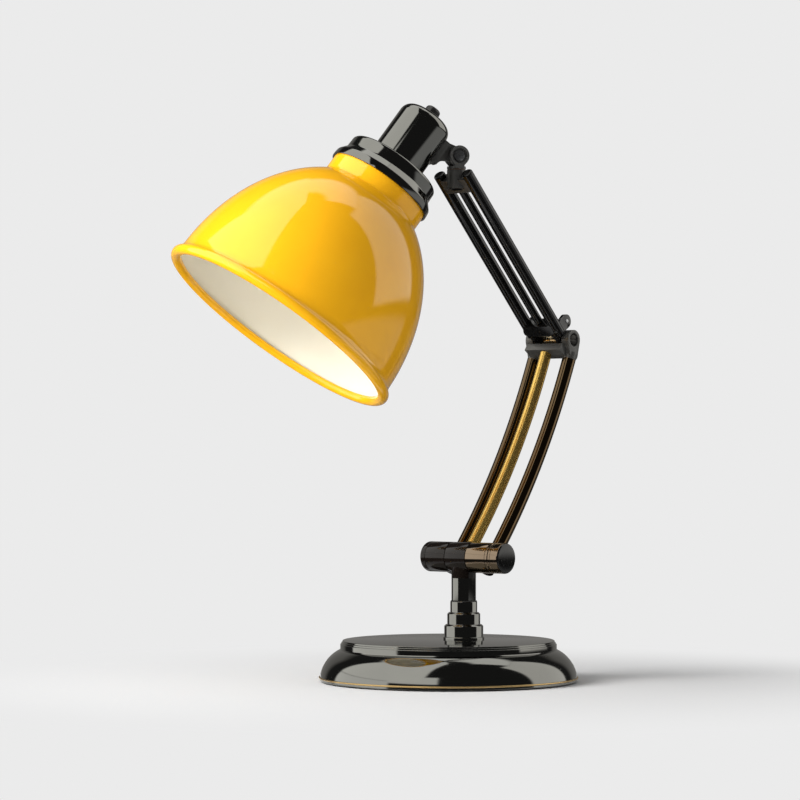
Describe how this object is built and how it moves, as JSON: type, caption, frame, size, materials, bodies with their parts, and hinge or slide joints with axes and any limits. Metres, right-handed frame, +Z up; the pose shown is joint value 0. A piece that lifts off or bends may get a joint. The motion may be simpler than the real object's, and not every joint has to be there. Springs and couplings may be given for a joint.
{
  "type": "desk lamp",
  "caption": "Desk lamp with a round weighted base, a jointed arm of bowed and straight tubes and a tilting, turning domed shade over a screw-cap bulb.",
  "frame": {"origin": "middle of the underside of the felt pad, on the surface the lamp stands on", "axes": "+Z up, the arm and head reach towards -Y, the shoulder and elbow turn about X"},
  "size_m": [0.2587, 0.3244, 0.4266],
  "materials": {
    "black_enamel": "gloss",
    "yellow_enamel": "gloss",
    "brass": "polished",
    "steel": "satin",
    "iron": "matte",
    "felt": "matte",
    "rubber": "matte",
    "ceramic": "gloss",
    "fibre": "matte",
    "bulb_metal": "satin",
    "bulb_glass": "frosted",
    "switch_plastic": "matte"
  },
  "bodies": {
    "base": {"base_cover": "black_enamel", "trim_ring": "brass", "ballast_plate": "iron", "bottom_plate": "steel", "felt_pad": "felt", "bottom_screws": "steel", "cord_grommet": "rubber", "stepped_collar": "black_enamel", "threaded_nipple": "steel", "nipple_washer": "steel", "nipple_nut": "brass", "stem_grub_screw": "steel", "stem_washer": "fibre"},
    "stem": {"stem_tube": "black_enamel", "centre_knuckle": "black_enamel"},
    "lower_arm": {"left_knuckle": "black_enamel", "right_knuckle": "black_enamel", "shoulder_washers": "fibre", "shoulder_bolt": "steel", "left_end_cap": "black_enamel", "lower_left_tube": "black_enamel", "lower_right_tube": "black_enamel", "lower_conduit": "brass", "lower_bridge": "black_enamel", "elbow_yoke": "black_enamel", "elbow_bolt": "steel", "elbow_nut": "steel", "elbow_washers": "fibre"},
    "knob": {"tension_knob": "black_enamel"},
    "upper_arm": {"elbow_knuckle": "black_enamel", "spacer_sleeve": "brass", "cross_pin": "steel", "upper_left_tube": "black_enamel", "upper_right_tube": "black_enamel", "upper_conduit": "black_enamel", "head_end_block": "black_enamel", "swivel_washer": "fibre"},
    "swivel": {"swivel_knuckle": "black_enamel", "swivel_nut": "steel", "tilt_washers": "fibre", "tilt_bolt": "steel", "tilt_nut": "black_enamel"},
    "head": {"head_bracket": "black_enamel", "bracket_screws": "steel", "socket_housing": "black_enamel", "holder_nut": "steel", "shade_collar": "black_enamel", "shade": "yellow_enamel", "shade_ring": "ceramic", "lampholder": "ceramic", "contact_tongue": "brass", "bulb_cap": "bulb_metal", "bulb_glass": "bulb_glass", "rotary_switch": "switch_plastic", "switch_nut": "black_enamel"},
    "switch": {"switch_knob": "black_enamel"}
  },
  "joints": [
    {"name": "stem_swivel", "type": "hinge", "parent": "base", "child": "stem", "pos_m": [0, 0.018, 0.0589], "axis": [0, 0, 1], "range_deg": [-150, 150]},
    {"name": "shoulder_pivot", "type": "hinge", "parent": "stem", "child": "lower_arm", "pos_m": [0, 0.018, 0.091], "axis": [1, 0, 0], "range_deg": [-15, 40]},
    {"name": "tension_knob_turn", "type": "hinge", "parent": "lower_arm", "child": "knob", "pos_m": [0.034, 0.018, 0.091], "axis": [1, 0, 0], "range_deg": [-60, 20]},
    {"name": "elbow_pivot", "type": "hinge", "parent": "lower_arm", "child": "upper_arm", "pos_m": [0, 0.12792, 0.2552], "axis": [1, 0, 0], "range_deg": [-30, 20]},
    {"name": "head_swivel", "type": "hinge", "parent": "upper_arm", "child": "swivel", "pos_m": [0, 0.00952, 0.37087], "axis": [0, 0, 1], "range_deg": [-28, 92]},
    {"name": "head_tilt", "type": "hinge", "parent": "swivel", "child": "head", "pos_m": [0, 0.00952, 0.38847], "axis": [0.848, -0.5299, 0], "range_deg": [-44, 18]},
    {"name": "switch_turn", "type": "hinge", "parent": "head", "child": "switch", "pos_m": [-0.01088, -0.0079, 0.41845], "axis": [0.3137, 0.5021, 0.8059], "range_deg": [0, 90]}
  ]
}
